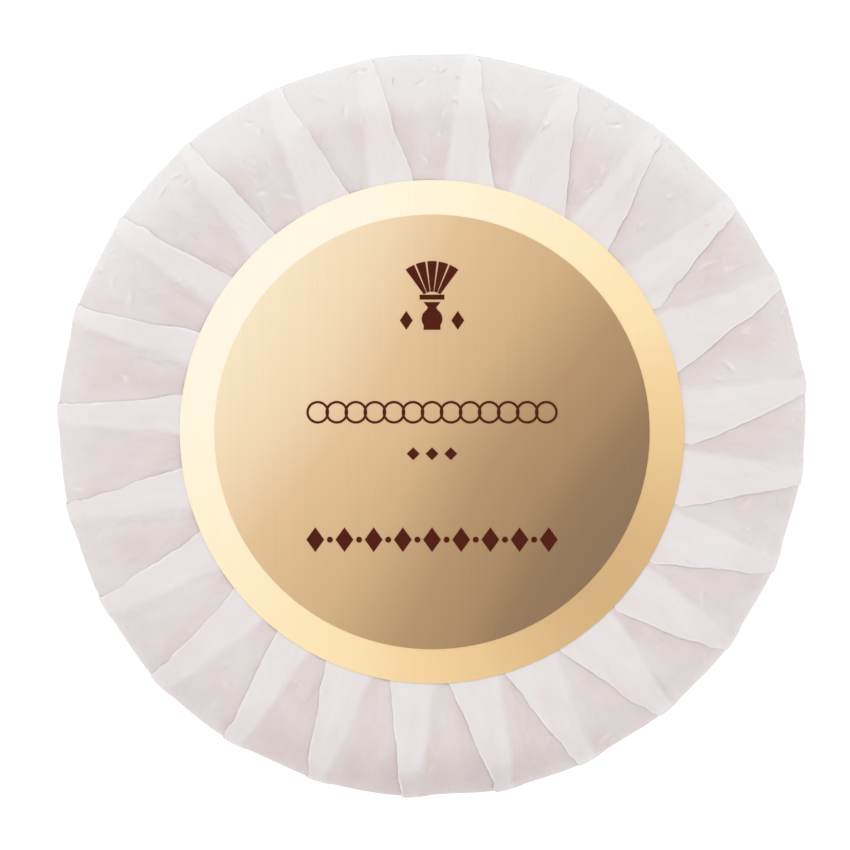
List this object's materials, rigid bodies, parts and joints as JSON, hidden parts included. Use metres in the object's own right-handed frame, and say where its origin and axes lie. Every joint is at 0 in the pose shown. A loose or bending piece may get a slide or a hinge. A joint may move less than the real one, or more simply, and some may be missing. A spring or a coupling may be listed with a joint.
{
  "type": "shaving soap puck",
  "caption": "Round cake of shaving soap in pleated paper, its pleats turned over the top and held by a round foil label.",
  "frame": {"origin": "centre of the flat underside", "axes": "+Z out of the labelled face, +Y the label's upright direction, +X to its right"},
  "size_m": [0.075, 0.075, 0.022],
  "materials": {
    "soap": "waxy satin",
    "wrapper_paper": "thin matte paper",
    "label_adhesive": "tacky film",
    "label_foil_pale": "satin pale gold foil",
    "label_foil_gold": "satin gold foil",
    "label_ink": "matte printing ink"
  },
  "bodies": {
    "wrapped_puck": {"soap_puck": "soap", "wrapper_cup": "wrapper_paper"},
    "pleat_01": {"pleat_01": "wrapper_paper"},
    "pleat_02": {"pleat_02": "wrapper_paper"},
    "pleat_03": {"pleat_03": "wrapper_paper"},
    "pleat_04": {"pleat_04": "wrapper_paper"},
    "pleat_05": {"pleat_05": "wrapper_paper"},
    "pleat_06": {"pleat_06": "wrapper_paper"},
    "pleat_07": {"pleat_07": "wrapper_paper"},
    "pleat_08": {"pleat_08": "wrapper_paper"},
    "pleat_09": {"pleat_09": "wrapper_paper"},
    "pleat_10": {"pleat_10": "wrapper_paper"},
    "pleat_11": {"pleat_11": "wrapper_paper"},
    "pleat_12": {"pleat_12": "wrapper_paper"},
    "pleat_13": {"pleat_13": "wrapper_paper"},
    "pleat_14": {"pleat_14": "wrapper_paper"},
    "pleat_15": {"pleat_15": "wrapper_paper"},
    "pleat_16": {"pleat_16": "wrapper_paper"},
    "pleat_17": {"pleat_17": "wrapper_paper"},
    "pleat_18": {"pleat_18": "wrapper_paper"},
    "pleat_19": {"pleat_19": "wrapper_paper"},
    "pleat_20": {"pleat_20": "wrapper_paper"},
    "pleat_21": {"pleat_21": "wrapper_paper"},
    "pleat_22": {"pleat_22": "wrapper_paper"},
    "pleat_23": {"pleat_23": "wrapper_paper"},
    "pleat_24": {"pleat_24": "wrapper_paper"},
    "label": {"label_adhesive": "label_adhesive", "label_face": "label_foil_pale", "label_panel": "label_foil_gold", "label_print": "label_ink"}
  },
  "joints": [
    {"name": "label_peel", "type": "slide", "parent": "wrapped_puck", "child": "label", "axis": [0, 0, 1], "range_m": [0, 0.05]},
    {"name": "pleat_01_fold", "type": "hinge", "parent": "wrapped_puck", "child": "pleat_01", "pos_m": [-0.00245, 0.03566, 0.01969], "axis": [-0.9976, -0.0687, 0], "range_deg": [0, 111]},
    {"name": "pleat_02_fold", "type": "hinge", "parent": "wrapped_puck", "child": "pleat_02", "pos_m": [0.00724, 0.035, 0.01969], "axis": [-0.9793, 0.2026, 0], "range_deg": [0, 111]},
    {"name": "pleat_03_fold", "type": "hinge", "parent": "wrapped_puck", "child": "pleat_03", "pos_m": [0.01634, 0.03179, 0.01969], "axis": [-0.8894, 0.4571, 0], "range_deg": [0, 111]},
    {"name": "pleat_04_fold", "type": "hinge", "parent": "wrapped_puck", "child": "pleat_04", "pos_m": [0.02418, 0.02632, 0.01969], "axis": [-0.7365, 0.6764, 0], "range_deg": [0, 111]},
    {"name": "pleat_05_fold", "type": "hinge", "parent": "wrapped_puck", "child": "pleat_05", "pos_m": [0.03023, 0.01907, 0.01969], "axis": [-0.5336, 0.8457, 0], "range_deg": [0, 111]},
    {"name": "pleat_06_fold", "type": "hinge", "parent": "wrapped_puck", "child": "pleat_06", "pos_m": [0.03414, 0.0106, 0.01969], "axis": [-0.2965, 0.955, 0], "range_deg": [0, 111]},
    {"name": "pleat_07_fold", "type": "hinge", "parent": "wrapped_puck", "child": "pleat_07", "pos_m": [0.03571, 0.00152, 0.01969], "axis": [-0.0425, 0.9991, 0], "range_deg": [0, 111]},
    {"name": "pleat_08_fold", "type": "hinge", "parent": "wrapped_puck", "child": "pleat_08", "pos_m": [0.03494, -0.00755, 0.01969], "axis": [0.2114, 0.9774, 0], "range_deg": [0, 111]},
    {"name": "pleat_09_fold", "type": "hinge", "parent": "wrapped_puck", "child": "pleat_09", "pos_m": [0.03193, -0.01605, 0.01969], "axis": [0.4492, 0.8935, 0], "range_deg": [0, 111]},
    {"name": "pleat_10_fold", "type": "hinge", "parent": "wrapped_puck", "child": "pleat_10", "pos_m": [0.02695, -0.02348, 0.01969], "axis": [0.6569, 0.754, 0], "range_deg": [0, 111]},
    {"name": "pleat_11_fold", "type": "hinge", "parent": "wrapped_puck", "child": "pleat_11", "pos_m": [0.02032, -0.02941, 0.01969], "axis": [0.8228, 0.5684, 0], "range_deg": [0, 111]},
    {"name": "pleat_12_fold", "type": "hinge", "parent": "wrapped_puck", "child": "pleat_12", "pos_m": [0.01244, -0.03351, 0.01969], "axis": [0.9375, 0.348, 0], "range_deg": [0, 111]},
    {"name": "pleat_13_fold", "type": "hinge", "parent": "wrapped_puck", "child": "pleat_13", "pos_m": [0.00377, -0.03554, 0.01969], "axis": [0.9944, 0.1056, 0], "range_deg": [0, 111]},
    {"name": "pleat_14_fold", "type": "hinge", "parent": "wrapped_puck", "child": "pleat_14", "pos_m": [-0.00517, -0.03537, 0.01969], "axis": [0.9895, -0.1445, 0], "range_deg": [0, 111]},
    {"name": "pleat_15_fold", "type": "hinge", "parent": "wrapped_puck", "child": "pleat_15", "pos_m": [-0.01385, -0.03295, 0.01969], "axis": [0.9219, -0.3875, 0], "range_deg": [0, 111]},
    {"name": "pleat_16_fold", "type": "hinge", "parent": "wrapped_puck", "child": "pleat_16", "pos_m": [-0.02173, -0.02838, 0.01969], "axis": [0.794, -0.6079, 0], "range_deg": [0, 111]},
    {"name": "pleat_17_fold", "type": "hinge", "parent": "wrapped_puck", "child": "pleat_17", "pos_m": [-0.02826, -0.02188, 0.01969], "axis": [0.6122, -0.7907, 0], "range_deg": [0, 111]},
    {"name": "pleat_18_fold", "type": "hinge", "parent": "wrapped_puck", "child": "pleat_18", "pos_m": [-0.03296, -0.01382, 0.01969], "axis": [0.3867, -0.9222, 0], "range_deg": [0, 111]},
    {"name": "pleat_19_fold", "type": "hinge", "parent": "wrapped_puck", "child": "pleat_19", "pos_m": [-0.03543, -0.00471, 0.01969], "axis": [0.1316, -0.9913, 0], "range_deg": [0, 111]},
    {"name": "pleat_20_fold", "type": "hinge", "parent": "wrapped_puck", "child": "pleat_20", "pos_m": [-0.03541, 0.00485, 0.01969], "axis": [-0.1357, -0.9908, 0], "range_deg": [0, 111]},
    {"name": "pleat_21_fold", "type": "hinge", "parent": "wrapped_puck", "child": "pleat_21", "pos_m": [-0.03283, 0.01414, 0.01969], "axis": [-0.3957, -0.9184, 0], "range_deg": [0, 111]},
    {"name": "pleat_22_fold", "type": "hinge", "parent": "wrapped_puck", "child": "pleat_22", "pos_m": [-0.0278, 0.02246, 0.01969], "axis": [-0.6285, -0.7778, 0], "range_deg": [0, 111]},
    {"name": "pleat_23_fold", "type": "hinge", "parent": "wrapped_puck", "child": "pleat_23", "pos_m": [-0.02069, 0.02915, 0.01969], "axis": [-0.8155, -0.5787, 0], "range_deg": [0, 111]},
    {"name": "pleat_24_fold", "type": "hinge", "parent": "wrapped_puck", "child": "pleat_24", "pos_m": [-0.01201, 0.03366, 0.01969], "axis": [-0.9418, -0.3361, 0], "range_deg": [0, 111]}
  ],
  "couplings": [
    {"joint": "pleat_01_fold", "follows": "label_peel", "rad_per_m": 38.397},
    {"joint": "pleat_02_fold", "follows": "label_peel", "rad_per_m": 38.397},
    {"joint": "pleat_03_fold", "follows": "label_peel", "rad_per_m": 38.397},
    {"joint": "pleat_04_fold", "follows": "label_peel", "rad_per_m": 38.397},
    {"joint": "pleat_05_fold", "follows": "label_peel", "rad_per_m": 38.397},
    {"joint": "pleat_06_fold", "follows": "label_peel", "rad_per_m": 38.397},
    {"joint": "pleat_07_fold", "follows": "label_peel", "rad_per_m": 38.397},
    {"joint": "pleat_08_fold", "follows": "label_peel", "rad_per_m": 38.397},
    {"joint": "pleat_09_fold", "follows": "label_peel", "rad_per_m": 38.397},
    {"joint": "pleat_10_fold", "follows": "label_peel", "rad_per_m": 38.397},
    {"joint": "pleat_11_fold", "follows": "label_peel", "rad_per_m": 38.397},
    {"joint": "pleat_12_fold", "follows": "label_peel", "rad_per_m": 38.397},
    {"joint": "pleat_13_fold", "follows": "label_peel", "rad_per_m": 38.397},
    {"joint": "pleat_14_fold", "follows": "label_peel", "rad_per_m": 38.397},
    {"joint": "pleat_15_fold", "follows": "label_peel", "rad_per_m": 38.397},
    {"joint": "pleat_16_fold", "follows": "label_peel", "rad_per_m": 38.397},
    {"joint": "pleat_17_fold", "follows": "label_peel", "rad_per_m": 38.397},
    {"joint": "pleat_18_fold", "follows": "label_peel", "rad_per_m": 38.397},
    {"joint": "pleat_19_fold", "follows": "label_peel", "rad_per_m": 38.397},
    {"joint": "pleat_20_fold", "follows": "label_peel", "rad_per_m": 38.397},
    {"joint": "pleat_21_fold", "follows": "label_peel", "rad_per_m": 38.397},
    {"joint": "pleat_22_fold", "follows": "label_peel", "rad_per_m": 38.397},
    {"joint": "pleat_23_fold", "follows": "label_peel", "rad_per_m": 38.397},
    {"joint": "pleat_24_fold", "follows": "label_peel", "rad_per_m": 38.397}
  ]
}
